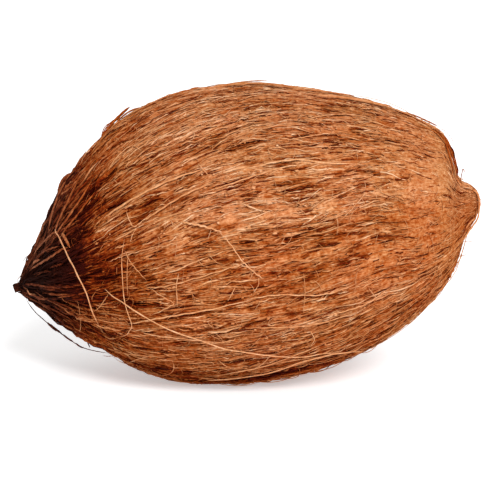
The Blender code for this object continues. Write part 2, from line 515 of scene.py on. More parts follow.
def makeCoir(name, spread, bumpDistance):
    material, nodes, links, shader = newMaterial(name)
    tone = addAttribute(nodes, "tone")["Fac"]
    place = addAttribute(nodes, "fibrePlace")["Vector"]
    coordinates = nodes.new("ShaderNodeTexCoord").outputs["Object"]
    streak = addNoise(nodes, links, place, coir["streakScale"], 3.0)
    speckle = addNoise(nodes, links, coordinates, coir["speckleScale"], 2.0)
    blush = addNoise(nodes, links, coordinates, coir["blushScale"], 3.0)
    total = addSpread(nodes, links, streak, spread, tone)
    total = addSpread(nodes, links, speckle, spread, total)
    tan, russet, weathered = [addRamp(nodes, links, total, coir[name]) for name in coir["ramps"]]
    reddish = addRange(nodes, links, blush, *coir["blushRange"])
    mixed = addMix(nodes, links, reddish, tan, russet)
    split = nodes.new("ShaderNodeSeparateXYZ")
    links.new(coordinates, split.inputs["Vector"])
    dulled = addRange(nodes, links, split.outputs["X"], coir["weatheredFrom"], coir["weatheredTo"])
    links.new(addMix(nodes, links, dulled, mixed, weathered), shader.inputs["Base Color"])
    shader.inputs["Roughness"].default_value = coir["roughness"]
    shader.inputs["Specular IOR Level"].default_value = coir["shine"]
    height = addSpread(nodes, links, streak, 1.0, speckle)
    bump = nodes.new("ShaderNodeBump")
    bump.inputs["Distance"].default_value = bumpDistance
    links.new(height, bump.inputs["Height"])
    links.new(bump.outputs["Normal"], shader.inputs["Normal"])
    return material


packedCoir = makeCoir("coir_packed", 0.70, 0.00045)
strandCoir = makeCoir("coir_strand", 0.50, 0.00015)


# Husk: the packed fibre under the strands

husk = {
    "around": 448, "along": 150,
    "depth": 0.00085,          # its surface lies this far below the fruit's own shape
    "pithRise": 0.6,           # and this share of the way back up where it is pithy
    "reliefScale": 1.4,        # grooves cut deeper here than the strands follow
    "clearance": 0.0004,       # above the floor
    "tone": 0.54, "pithTone": 0.06,
}


def makeHusk():
    deselectAll()
    bpy.ops.mesh.primitive_grid_add(x_subdivisions=husk["around"], y_subdivisions=husk["along"], size=1.0)
    piece = bpy.context.object
    piece.name = "husk"
    flat = readPoints(piece.data)          # the sheet is rolled round the fruit
    grain = (flat[:, 0] + 0.5) * 2.0 * math.pi
    along = np.clip(flat[:, 1] + 0.5, 0.0, 1.0)
    height, shade = readRelief(along, grain)
    depth = husk["depth"] * (1.0 - husk["pithRise"] * pithAt(along, grain))
    depth[(along < 1e-5) | (along > 1.0 - 1e-5)] = 0.0
    inner = np.clip(along, 0.004, 0.996)
    offset = (height * husk["reliefScale"] - depth)[:, None]
    shaped = fruitPoint(along, grain) + fruitNormal(inner, grain) * offset
    shaped[:, 2] = np.maximum(shaped[:, 2], husk["clearance"])
    piece.data.vertices.foreach_set("co", shaped.ravel())
    # painted shade: the husk takes the lighter hills and darker splits and underside from the relief,
    # besides the stains
    addNumbers(piece.data, "tone", husk["tone"] + husk["pithTone"] * pithAt(along, grain) + shade)
    radius = fruit["girthRadius"]
    place = [radius * np.cos(grain), radius * np.sin(grain), along * meridian * coir["squeeze"]]
    addPlaces(piece.data, "fibrePlace", np.stack(place, -1))
    bpy.ops.object.mode_set(mode="EDIT")
    bpy.ops.mesh.select_all(action="SELECT")
    bpy.ops.mesh.remove_doubles(threshold=0.000002)
    bpy.ops.mesh.normals_make_consistent(inside=False)
    bpy.ops.object.mode_set(mode="OBJECT")
    bpy.ops.object.shade_smooth()
    piece.data.materials.append(packedCoir)
    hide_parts("coconut")
    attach(piece, "root")
    print("husk:", len(piece.data.vertices), "points")
    return piece


# Strands: one blank is modelled, then a copy of it is bent along each fibre's route

def makeBlank(sides, stations):
    deselectAll()
    bpy.ops.mesh.primitive_cylinder_add(vertices=sides, radius=1.0, depth=1.0, end_fill_type="TRIFAN")
    blank = bpy.context.object
    bpy.ops.object.mode_set(mode="EDIT")
    bpy.ops.mesh.select_mode(type="EDGE")
    bpy.ops.mesh.select_all(action="DESELECT")
    bpy.ops.object.mode_set(mode="OBJECT")
    points = readPoints(blank.data)
    for edge in blank.data.edges:
        low, high = edge.vertices
        edge.select = bool(abs(points[low, 2] - points[high, 2]) > 0.5)
    bpy.ops.object.mode_set(mode="EDIT")
    bpy.ops.mesh.subdivide(number_cuts=stations - 2)
    bpy.ops.object.mode_set(mode="OBJECT")
    points = readPoints(blank.data)
    share = points[:, 2] + 0.5
    around = np.arctan2(points[:, 1], points[:, 0]) / (2.0 * math.pi) % 1.0
    middle = np.hypot(points[:, 0], points[:, 1]) < 0.5
    counts = np.array([len(face.vertices) for face in blank.data.polygons])
    corners = np.array([v for face in blank.data.polygons for v in face.vertices])
    result = {
        "share": share, "across": points[:, :2], "middle": middle,
        "station": np.rint(share * (stations - 1)).astype(int),
        "counts": counts, "corners": corners,
    }
    cornerU = np.where(middle[corners], 0.0, 0.03) + 0.94 * share[corners]
    cornerU = np.where(middle[corners] & (share[corners] > 0.5), 1.0, cornerU)
    cornerU = np.where(middle[corners] & (share[corners] < 0.5), 0.0, cornerU)
    cornerV = around[corners].copy()
    starts = np.concatenate([[0], np.cumsum(counts)[:-1]])
    for start, count in zip(starts, counts):
        ring = ~middle[corners[start:start + count]]
        value = cornerV[start:start + count]
        if value[ring].max() - value[ring].min() > 0.5:
            value[ring & (value < 0.4)] += 1.0
        value[~ring] = value[ring].mean()
        cornerV[start:start + count] = value
    result["uv"] = np.stack([cornerU, cornerV - cornerV.min()], -1)
    result["uv"][:, 1] /= result["uv"][:, 1].max()
    bpy.data.objects.remove(blank, do_unlink=True)
    return result


def addUnwrap(mesh, uv, count):
    # each copy gets a cell of its own on the sheet, about six times as long as it is high
    columns = max(4, round(math.sqrt(count / 6.5)))
    rows = math.ceil(count / columns)
    cell = np.arange(count)
    margin = 0.12
    u = (cell % columns)[:, None] + 0.01 + 0.98 * uv[None, :, 0]
    v = (cell // columns)[:, None] + margin + (1.0 - 2.0 * margin) * uv[None, :, 1]
    layer = mesh.uv_layers.new(name="OFBake")
    layer.uv.foreach_set("vector", np.stack([u / columns, v / rows], -1).astype(np.float32).ravel())


def buildCopies(name, points, corners, counts, uv, material):
    # points: one row for each copy; corners and counts: the faces of one copy
    count, perCopy = points.shape[:2]
    mesh = bpy.data.meshes.new(name)
    allCorners = (corners[None, :] + perCopy * np.arange(count)[:, None]).ravel()
    allCounts = np.tile(counts, count)
    mesh.vertices.add(count * perCopy)
    mesh.vertices.foreach_set("co", points.astype(np.float32).ravel())
    mesh.loops.add(len(allCorners))
    mesh.loops.foreach_set("vertex_index", allCorners.astype(np.int32))
    mesh.polygons.add(len(allCounts))
    starts = np.concatenate([[0], np.cumsum(allCounts)[:-1]])
    mesh.polygons.foreach_set("loop_start", starts.astype(np.int32))
    mesh.polygons.foreach_set("use_smooth", np.ones(len(allCounts), bool))
    mesh.update(calc_edges=True)
    addUnwrap(mesh, uv, count)
    mesh.materials.append(material)
    piece = bpy.data.objects.new(name, mesh)
    bpy.context.scene.collection.objects.link(piece)
    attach(piece, "root")
    triangles = count * int((counts - 2).sum())
    print(name + ":", count, "copies,", triangles, "triangles")
    return piece


def bendCopies(name, blank, strands, material, flatten=0.8):
    # strands: routes and normals at each station, with radius and tone there, and how far it is rolled
    routes, normals = strands["routes"], strands["normals"]
    count, stations = routes.shape[:2]
    tangent = np.gradient(routes, axis=1)
    tangent /= np.maximum(np.linalg.norm(tangent, axis=-1, keepdims=True), 1e-12)
    side = np.cross(tangent, normals)
    side /= np.maximum(np.linalg.norm(side, axis=-1, keepdims=True), 1e-12)
    up = np.cross(side, tangent)
    station = blank["station"]
    roll = strands["roll"][:, station]
    acrossX = blank["across"][:, 0] * np.cos(roll) - blank["across"][:, 1] * np.sin(roll)
    acrossY = blank["across"][:, 0] * np.sin(roll) + blank["across"][:, 1] * np.cos(roll)
    wide = strands["radius"][:, station]
    points = routes[:, station] + side[:, station] * (acrossX * wide)[..., None]
    points = points + up[:, station] * (acrossY * wide * flatten)[..., None]
    ends = blank["middle"]
    outward = np.where(blank["share"][ends] > 0.5, 1.0, -1.0)[None, :, None]
    points[:, ends] += tangent[:, station[ends]] * outward * wide[:, ends, None] * 1.5
    points[..., 2] = np.maximum(points[..., 2], clearance)
    piece = buildCopies(name, points, blank["corners"], blank["counts"], blank["uv"], material)
    addNumbers(piece.data, "tone", strands["tone"][:, station])
    steps = np.linalg.norm(np.diff(routes, axis=1), axis=-1)
    travelled = np.concatenate([np.zeros((count, 1)), np.cumsum(steps, axis=1)], axis=1)[:, station]
    own = 0.05 * np.arange(count)[:, None]     # each strand reads its own part of the pattern
    place = [acrossX * wide + own, acrossY * wide, travelled * coir["squeeze"]]
    addPlaces(piece.data, "fibrePlace", np.stack(place, -1))
    return piece


areaAlong = np.linspace(0.0, 1.0, 400)
areaShare = ringRadius(reachAt(areaAlong))
areaShare = np.concatenate([[0.0], np.cumsum(areaShare[1:] + areaShare[:-1])])
areaShare /= areaShare[-1]


def spreadAlong(random, count, first, last):
    # places along the fruit between first and last, evenly over its surface
    low, high = np.interp([first, last], areaAlong, areaShare)
    return np.interp(random.uniform(low, high, count), areaShare, areaAlong)


# How the strands wave: waves in each quarter of the fruit's length, and how strong each is
waveLength = 0.25
wiggleWaves = [(1.0, 1.0), (3.0, 0.55), (8.0, 0.26), (21.0, 0.30)]
riseWaves = [3.5, 8.0]


def layStrands(layer, seed):
    # strands lie with the grain, gathered in bundles, spread evenly over the surface
    random = np.random.default_rng(seed)
    count, stations = layer["count"], layer["stations"]
    first, last = layer["reach"]
    bundles = layer["bundles"]
    bundle = random.integers(0, bundles, count)
    bundleGrain = (np.arange(bundles) + random.uniform(-0.5, 0.5, bundles)) * 2.0 * math.pi / bundles
    bundleTone = random.normal(0.0, 0.04, bundles)
    middle = spreadAlong(random, count, first, last)
    length = random.uniform(*layer["length"], count) / meridian
    lastEnd = last - random.uniform(0.0, 0.04, count)
    start = middle - length / 2.0
    end = middle + length / 2.0
    over = np.maximum(end - lastEnd, 0.0)
    under = np.maximum(first - start, 0.0)
    start = np.maximum(start - over, first)
    end = np.minimum(end + under, lastEnd)
    share = np.linspace(0.0, 1.0, stations)[None, :]
    along = start[:, None] + (end - start)[:, None] * share
    ring = ringSize(along)
    wander = random.normal(0.0, layer["bundleWidth"], count)[:, None]
    slant = random.normal(0.0, layer["slant"], count)[:, None]
    wander = wander + slant * (along - middle[:, None]) * meridian
    waveShare = 2.0 * math.pi * share * length[:, None] / waveLength
    for waves, size in wiggleWaves:
        phase = random.uniform(0.0, 2.0 * math.pi, count)[:, None]
        wander = wander + layer["wiggle"] * size * np.sin(waves * waveShare + phase)
    grain = bundleGrain[bundle][:, None] + wander / ring
    grain = grain + leanAt(along, grain)
    envelope = np.sin(math.pi * np.clip(share, 0.0, 1.0)) ** 0.5
    ground, shade = readRelief(along, grain)
    height = random.normal(layer["height"], layer["heightSpread"], count)[:, None] + ground
    for waves in riseWaves:
        phase = random.uniform(0.0, 2.0 * math.pi, count)[:, None]
        height = height + layer["rise"] * np.sin(waves * waveShare + phase)
    height = height - layer["endDip"] * (1.0 - envelope)
    stray = random.uniform(0.0, 1.0, count) < layer["strays"]
    flip = random.uniform(0.0, 1.0, count) < 0.5
    towardEnd = np.where(flip[:, None], share, 1.0 - share)
    lift = random.uniform(0.2, 1.0, count)[:, None] * layer["strayLift"]
    lift = lift * smoothStep(0.55, 1.0, towardEnd) ** 1.5
    lift = lift + layer["endDip"] * (1.0 - envelope) * (towardEnd > 0.5)
    height = height + np.where(stray[:, None], lift, 0.0)
    normals = fruitNormal(along, grain)
    width = random.uniform(*layer["width"], count)[:, None] / 2.0 * smoothStep(-0.10, 0.12, along)
    taper = np.clip(1.0 - np.abs(2.0 * share - 1.0) ** 5, 0.08, 1.0)
    ripple = 1.0 + 0.18 * np.sin(2.0 * math.pi * (share * 3.0 + random.uniform(0.0, 1.0, count)[:, None]))
    tone = (random.normal(0.0, layer["toneSpread"], count) + bundleTone[bundle])[:, None]
    tone = layer["tone"] + tone * (1.0 - 0.5 * pithAt(along, grain))
    # painted shade: the strand takes the lighter hills and darker splits and underside from the relief,
    # besides the stains
    tone = tone + shade + random.normal(0.0, 0.05, along.shape)
    # painted shade: a strand is darker in colour where it lies deeper
    tone = tone + relief["sunkShadeTone"] * (height - ground - layer["height"])   # darker where it lies deeper
    roll = random.uniform(0.0, 2.0 * math.pi, count)[:, None]
    roll = roll + random.normal(0.0, 2.0, count)[:, None] * share
    return {
        "routes": fruitPoint(along, grain) + normals * height[..., None], "normals": normals,
        "radius": width * taper * ripple, "tone": tone, "roll": roll,
    }


usualLayer = {
    "bundleWidth": 0.0008, "wiggle": 0.0004, "flatten": 0.7, "endDip": 0.0004,
    "strays": 0.0, "strayLift": 0.0, "reach": (0.030, 0.940),
}

layers = {
    "strands_inner": {
        "count": 1300, "stations": 12, "length": (0.022, 0.055), "width": (0.0009, 0.0013),
        "bundles": 190, "slant": 0.03, "height": -0.00092, "heightSpread": 0.00010, "rise": 0.00012,
        "tone": 0.54, "toneSpread": 0.09, "reach": (0.004, 0.960),
    },
    "strands_middle": {
        "count": 2900, "stations": 8, "length": (0.010, 0.028), "width": (0.00060, 0.00095),
        "bundles": 230, "slant": 0.08, "height": -0.00076, "heightSpread": 0.00013, "rise": 0.00014,
        "tone": 0.60, "toneSpread": 0.10, "reach": (0.004, 0.960),
    },
    "strands_outer": {
        "count": 3700, "stations": 7, "length": (0.006, 0.020), "width": (0.00052, 0.00086),
        "bundles": 260, "slant": 0.09, "height": -0.00058, "heightSpread": 0.00015, "rise": 0.00016,
        "tone": 0.64, "toneSpread": 0.10, "reach": (0.004, 0.965),
        "bundleWidth": 0.0009, "flatten": 0.75, "strays": 0.008, "strayLift": 0.001,
    },
    "strands_fine": {
        "count": 3500, "stations": 6, "length": (0.004, 0.014), "width": (0.00040, 0.00064),
        "bundles": 280, "slant": 0.11, "height": -0.00040, "heightSpread": 0.00015, "rise": 0.00016,
        "tone": 0.66, "toneSpread": 0.11, "reach": (0.020, 0.970), "bundleWidth": 0.0010,
        "wiggle": 0.0005, "flatten": 0.85, "endDip": 0.0003, "strays": 0.02, "strayLift": 0.0015,
    },
    # dark strands: painted shade for the shadowed pits between fibres, as well as some darker fibres
    "strands_dark_pit_shade": {
        "count": 3000, "stations": 6, "length": (0.003, 0.011), "width": (0.00030, 0.00056),
        "bundles": 300, "slant": 0.08, "height": -0.00034, "heightSpread": 0.00010, "rise": 0.00004,
        "tone": 0.17, "toneSpread": 0.07, "bundleWidth": 0.0010,
        "wiggle": 0.0003, "flatten": 0.40, "endDip": 0.0003,
    },
    "strands_long": {
        "count": 160, "stations": 24, "length": (0.030, 0.080), "width": (0.00036, 0.00054),
        "bundles": 240, "slant": 0.06, "height": -0.00020, "heightSpread": 0.00018, "rise": 0.00018,
        "tone": 0.68, "toneSpread": 0.06, "bundleWidth": 0.0010,
        "wiggle": 0.0006, "flatten": 0.85, "endDip": 0.0006, "strays": 0.04, "strayLift": 0.002,
    },
    "strands_stem": {
        "count": 500, "stations": 12, "length": (0.016, 0.040), "width": (0.0008, 0.0014),
        "bundles": 60, "slant": 0.06, "height": -0.0003, "heightSpread": 0.00040, "rise": 0.0002,
        "tone": 0.46, "toneSpread": 0.18, "reach": (0.002, 0.250), "bundleWidth": 0.0009,
        "flatten": 0.8, "endDip": 0.0007, "strays": 0.08, "strayLift": 0.002,
    },
}


# Loose fibres, placed one by one: width in mm, tone, and points of
# (place along the fruit, fibre line in degrees, height off the surface in mm)

ropes = [
    (0.6, 0.76, [(0.425, 158.2, -0.6), (0.468, 158, 0.2), (0.508, 156.4, 0.4), (0.555, 154, 0.3),
        (0.605, 153.4, -0.4)]),
    (0.75, 0.79, [(0.51, 151.8, -0.6), (0.54, 151.4, 0.3), (0.58, 151.4, 0.5), (0.62, 154, 0.4),
        (0.695, 156.2, -0.5)]),
    (0.45, 0.74, [(0.545, 150.8, -0.5), (0.585, 150.8, 0.2), (0.63, 151.4, -0.5)]),
    (0.5, 0.76, [(0.56, 140.2, -0.5), (0.595, 139.2, 0.2), (0.65, 135, -0.5)]),
    (0.5, 0.74, [(0.585, 128, -0.5), (0.62, 123.8, 0.2), (0.66, 119.6, 0.2), (0.705, 117.4, -0.5)]),
    (0.85, 0.72, [(0.245, 150, -0.8), (0.275, 149.8, 0.3), (0.33, 148.9, 0.5), (0.38, 148.1, 0.4),
        (0.435, 147.8, -0.6)]),
    (0.7, 0.72, [(0.325, 159.8, -0.6), (0.355, 158.6, 0.3), (0.4, 156.4, 0.4), (0.445, 155.2, -0.5)]),
    (0.5, 0.75, [(0.33, 183, -0.5), (0.37, 183.8, 0.2), (0.443, 183.6, 0.3), (0.505, 183.4, -0.5)]),
    (0.6, 0.78, [(0.3, 196.3, 0.4), (0.338, 194.6, 0.5), (0.378, 194, 0.4), (0.427, 194, 0.4),
        (0.505, 194.5, -0.4)]),
    (0.5, 0.76, [(0.49, 194, -0.5), (0.545, 195.2, 0.3), (0.618, 199.3, 0.3), (0.678, 200, -0.5)]),
    (0.5, 0.74, [(0.49, 203.8, -0.5), (0.54, 206, 0.3), (0.6, 209.2, 0.3), (0.685, 212, -0.5)]),
    (0.5, 0.75, [(0.61, 207.4, -0.5), (0.66, 208.6, 0.3), (0.695, 209, 0.3), (0.735, 207.4, -0.5)]),
    (0.5, 0.7, [(0.432, 232.6, -0.3), (0.482, 227.2, 0.4), (0.517, 225.8, 0.5), (0.57, 223, 0.2),
        (0.62, 222, -0.4)]),
    (0.6, 0.74, [(0.425, 237, -0.3), (0.44, 235.4, 0.4), (0.497, 233.4, 0.6), (0.54, 231.8, 0.7),
        (0.58, 228.8, 0.7), (0.63, 230.2, 0.7), (0.665, 236, 0.6), (0.692, 244.5, 0.8)]),
]

looseFibres = [
    (0.62, 0.8, [(0.14, 134, 0.2), (0.147, 139.5, 1.2), (0.16, 147, 1.6), (0.177, 157, 1.6),
        (0.195, 166, 1.5), (0.208, 173.5, 1.4), (0.22, 180.5, 1.2), (0.232, 193, 0.9), (0.246, 207, -0.2)]),
    (0.5, 0.84, [(0.248, 179, -0.2), (0.275, 183.6, 0.9), (0.302, 188, 1.1), (0.352, 196.4, 1),
        (0.417, 204.8, 0.8), (0.465, 211.2, 0.8), (0.505, 215.2, 0.8), (0.58, 224.4, 0.7),
        (0.63, 228.8, 0.6), (0.7, 246, -0.1)]),
    (0.36, 0.78, [(0.32, 200.6, -0.3), (0.345, 201.6, 0.6), (0.38, 203, 0.7), (0.422, 205.6, 0.6),
        (0.45, 208, 0.2)]),
    (0.38, 0.78, [(0.293, 163.2, -0.2), (0.291, 170, 0.9), (0.292, 177, 1), (0.296, 186.6, 1.1),
        (0.307, 196, 1.1), (0.302, 199.4, 0.8), (0.294, 202.6, 0.6), (0.279, 205.2, 0)]),
    (0.28, 0.72, [(0.3, 168.6, -0.2), (0.301, 173, 0.8), (0.3, 177.5, 0.8), (0.298, 184, -0.1)]),
    (0.32, 0.76, [(0.294, 167.6, 0), (0.302, 171, 0.8), (0.312, 174.6, 0.8), (0.332, 180.6, -0.2)]),
    (0.32, 0.74, [(0.262, 169.6, -0.2), (0.285, 169.6, 0.7), (0.315, 170.2, 0.7), (0.358, 171.2, -0.3)]),
    (0.34, 0.8, [(0.336, 182.8, -0.2), (0.355, 185.8, 0.8), (0.372, 188.3, 0.9), (0.379, 189.6, 0.9),
        (0.372, 190.3, 0.8), (0.358, 191.4, 0.8), (0.336, 193.2, -0.1)]),
    (0.32, 0.78, [(0.386, 181, -0.2), (0.383, 184.4, 0.8), (0.384, 188, 0.8), (0.383, 191.4, -0.1)]),
    (0.75, 0.82, [(0.385, 165.6, -0.4), (0.405, 168, 0.4), (0.427, 170.4, 0.6), (0.456, 173.6, 0.5)]),
    (0.4, 0.84, [(0.45, 172.8, 0.4), (0.47, 177.6, 0.9), (0.487, 182.4, 1), (0.508, 186.8, 0.9),
        (0.522, 189.4, -0.1)]),
    (0.28, 0.78, [(0.416, 144.6, -0.2), (0.424, 148, 0.7), (0.434, 151.6, -0.2)]),
    (0.32, 0.8, [(0.296, 152.4, -0.1), (0.303, 156.6, 0.8), (0.312, 160.6, 0.8), (0.326, 160, 0.6),
        (0.342, 158.4, -0.2)]),
    (0.28, 0.78, [(0.316, 161.6, 0.6), (0.31, 163.4, 0.8), (0.304, 165.4, -0.1)]),
    (0.3, 0.82, [(0.708, 171, -0.1), (0.702, 168.8, 0.8), (0.688, 168.8, 0.8), (0.664, 173.6, 0.7),
        (0.645, 177, -0.1)]),
    (0.28, 0.8, [(0.694, 203, -0.1), (0.701, 206, 0.7), (0.709, 209, -0.1)]),
    (0.28, 0.76, [(0.476, 189.2, -0.1), (0.47, 191, 0.7), (0.464, 192.8, -0.1)]),
    (0.3, 0.76, [(0.512, 188.2, 0), (0.513, 190.2, 0.7), (0.505, 192.4, -0.1)]),
    (0.3, 0.78, [(0.597, 220.8, -0.1), (0.603, 216, 0.7), (0.597, 212, -0.1)]),
    (0.32, 0.78, [(0.534, 219, -0.1), (0.517, 223.6, 0.7), (0.495, 229.2, -0.1)]),
    (0.3, 0.74, [(0.448, 217.6, -0.1), (0.466, 222.2, 0.7), (0.487, 224.8, -0.1)]),
    (0.3, 0.74, [(0.294, 231, -0.1), (0.311, 219.8, 0.7), (0.331, 216, -0.1)]),
    (0.3, 0.68, [(0.262, 182.4, -0.1), (0.254, 185.4, 0.8), (0.245, 188.4, 0.8), (0.226, 193, -0.1)]),
    (0.28, 0.62, [(0.238, 180, -0.1), (0.231, 183, 0.8), (0.228, 186, -0.1)]),
    (0.36, 0.76, [(0.259, 127.8, -0.2), (0.278, 125.2, 0.8), (0.305, 123.4, 0.9), (0.32, 127.4, -0.1)]),
    (0.25, 0.68, [(0.585, 191, -0.1), (0.587, 196, 0.6), (0.585, 203.6, -0.1)]),
    (0.3, 0.4, [(0.075, 183, -0.1), (0.115, 190, 0.8), (0.152, 195, 0.8), (0.188, 199.4, -0.1)]),
    (0.3, 0.46, [(0.152, 181, -0.1), (0.16, 186, 0.8), (0.167, 190.8, -0.1)]),
    (0.3, 0.46, [(0.174, 179.4, -0.1), (0.185, 184, 0.8), (0.197, 188.6, -0.1)]),
    (0.28, 0.72, [(0.57, 147.6, -0.1), (0.53, 145, 0.6), (0.536, 148, 0.6), (0.544, 145.8, -0.1)]),
]


# Broad strands at the stem point, where the outer husk has pulled together
stemRidges = [
    (1.2, 0.4, [(0.18, 90, -0.3), (0.163, 99, 0.5), (0.15, 106, 0.8), (0.138, 111.5, 0.8),
        (0.128, 116, 0.6), (0.114, 125, 0)]),
    (1, 0.42, [(0.2, 110, -0.3), (0.188, 116.5, 0.4), (0.175, 123.5, 0.7), (0.16, 128.5, 0.7),
        (0.145, 134, 0.5), (0.132, 140, -0.1)]),
    (1, 0.38, [(0.222, 124, -0.4), (0.208, 129.5, 0.4), (0.19, 132.5, 0.6), (0.173, 136, 0.6),
        (0.152, 138.5, 0.4), (0.13, 143, 0)]),
    (0.8, 0.36, [(0.232, 133, -0.4), (0.215, 136, 0.3), (0.195, 139, 0.5), (0.17, 142, 0.5),
        (0.15, 145, 0)]),
    (1.2, 0.5, [(0.156, 142.5, 0), (0.164, 145.5, 0.6), (0.172, 150, 0.6), (0.177, 154, 0)]),
    (0.8, 0.48, [(0.15, 140, 0), (0.138, 137, 0.6), (0.122, 135, 0.8), (0.1, 129.5, 0.7), (0.08, 121, 0.4),
        (0.066, 115, -0.1)]),
    (0.9, 0.4, [(0.172, 153.5, -0.2), (0.158, 153, 0.5), (0.135, 153.5, 0.7), (0.113, 153, 0.8),
        (0.085, 150, 0.6), (0.056, 143, 0)]),
    (0.7, 0.34, [(0.15, 150, -0.1), (0.125, 146.5, 0.4), (0.1, 141, 0.5), (0.075, 132, 0)]),
    (1.2, 0.52, [(0.07, 138, 0), (0.076, 140, 0.5), (0.083, 142, 0.5), (0.09, 144, 0)]),
    (0.9, 0.2, [(0.03, 166, 0), (0.08, 172, 0.4), (0.13, 176, 0.4), (0.19, 177, -0.2)]),
    (0.9, 0.24, [(0.03, 190, 0), (0.08, 190, 0.4), (0.13, 192, 0.5), (0.19, 196, -0.2)]),
    (1, 0.24, [(0.03, 206, 0), (0.07, 206, 0.4), (0.12, 208, 0.5), (0.18, 212, -0.2)]),
    (1.2, 0.34, [(0.098, 94, -0.3), (0.108, 94, 0.5), (0.12, 95, 0.7), (0.134, 94, -0.3)]),
    (1.8, 0.36, [(0.132, 94, -0.4), (0.142, 92.5, 0.6), (0.152, 93, 1.1), (0.163, 94.5, 0.9),
        (0.175, 95, -0.4)]),
    (1.2, 0.34, [(0.062, 97, -0.3), (0.074, 99, 0.4), (0.086, 100, 0.5), (0.098, 98, -0.3)]),
    (1, 0.3, [(0.05, 50, 0), (0.09, 48, 0.5), (0.15, 52, 0.5), (0.21, 50, -0.2)]),
    (1.1, 0.3, [(0.04, 10, 0), (0.09, 14, 0.5), (0.14, 8, 0.5), (0.19, 10, -0.2)]),
    (1, 0.28, [(0.045, 320, 0), (0.095, 316, 0.5), (0.15, 321, 0.5), (0.2, 318, -0.2)]),
    (0.9, 0.28, [(0.05, 275, 0), (0.09, 279, 0.4), (0.15, 274, 0.4), (0.21, 276, -0.2)]),
]

# Flat strips that have come loose at one end
looseStrips = [
    (1.5, 0.34, [(0.228, 93, -0.5), (0.247, 91.5, 0.1), (0.26, 90.5, 0.6), (0.275, 89, 1.1),
        (0.288, 88, 1.7), (0.298, 87.5, 2.1)]),
    (0.6, 0.3, [(0.236, 90, -0.1), (0.247, 89.5, 0.8), (0.258, 89, 1.2), (0.272, 88.5, 1)]),
    (0.45, 0.42, [(0.236, 88, 0.1), (0.245, 88, 1.2), (0.254, 88.5, 1.5), (0.266, 89, 0.3)]),
    (0.9, 0.4, [(0.262, 94, -0.3), (0.278, 92, 0.4), (0.295, 90.5, 0.7), (0.312, 89.5, 0.2)]),
    (1.7, 0.68, [(0.59, 101.5, -0.5), (0.64, 100, 0), (0.69, 98.5, 0.3), (0.738, 98.5, 0.7)]),
    (0.5, 0.58, [(0.66, 96, 0), (0.7, 96, 0.5), (0.742, 97.5, 1)]),
    (0.6, 0.5, [(0.395, 88, -0.2), (0.402, 87, 0.5), (0.412, 86, 0.5), (0.42, 85, -0.2)]),
    (1.6, 0.62, [(0.4, 92, -0.6), (0.44, 91, 0.1), (0.48, 90, 0.5), (0.52, 90, 0.5), (0.56, 91, 0.1),
        (0.6, 92, -0.6)]),
    (0.7, 0.58, [(0.44, 88, -0.2), (0.47, 88, 0.7), (0.5, 87, 1.2), (0.53, 86, 1.4)]),
    (0.5, 0.62, [(0.47, 93, 0), (0.5, 93, 1), (0.53, 94, 1.4), (0.555, 95, 1.1), (0.59, 95, 0)]),
    (1.2, 0.54, [(0.33, 92, -0.5), (0.36, 91, 0.1), (0.39, 91, 0.3), (0.42, 90, 0.2), (0.45, 90, -0.5)]),
    (0.8, 0.58, [(0.56, 97, -0.2), (0.6, 96, 0.4), (0.64, 96, 0.7), (0.675, 95, 0.9)]),
    (1.3, 0.62, [(0.62, 20, -0.4), (0.67, 21, 0.3), (0.72, 23, 0.6), (0.765, 24, 1.2)]),
    (1.2, 0.46, [(0.24, 330, -0.4), (0.27, 331, 0.5), (0.305, 334, 0.9), (0.33, 336, 1.6)]),
    (1.1, 0.56, [(0.42, 58, -0.4), (0.47, 57, 0.3), (0.52, 58, 0.6), (0.56, 60, 1.2)]),
    (1.1, 0.52, [(0.3, 285, -0.4), (0.35, 284, 0.3), (0.4, 286, 0.5), (0.44, 288, 0.9)]),
]

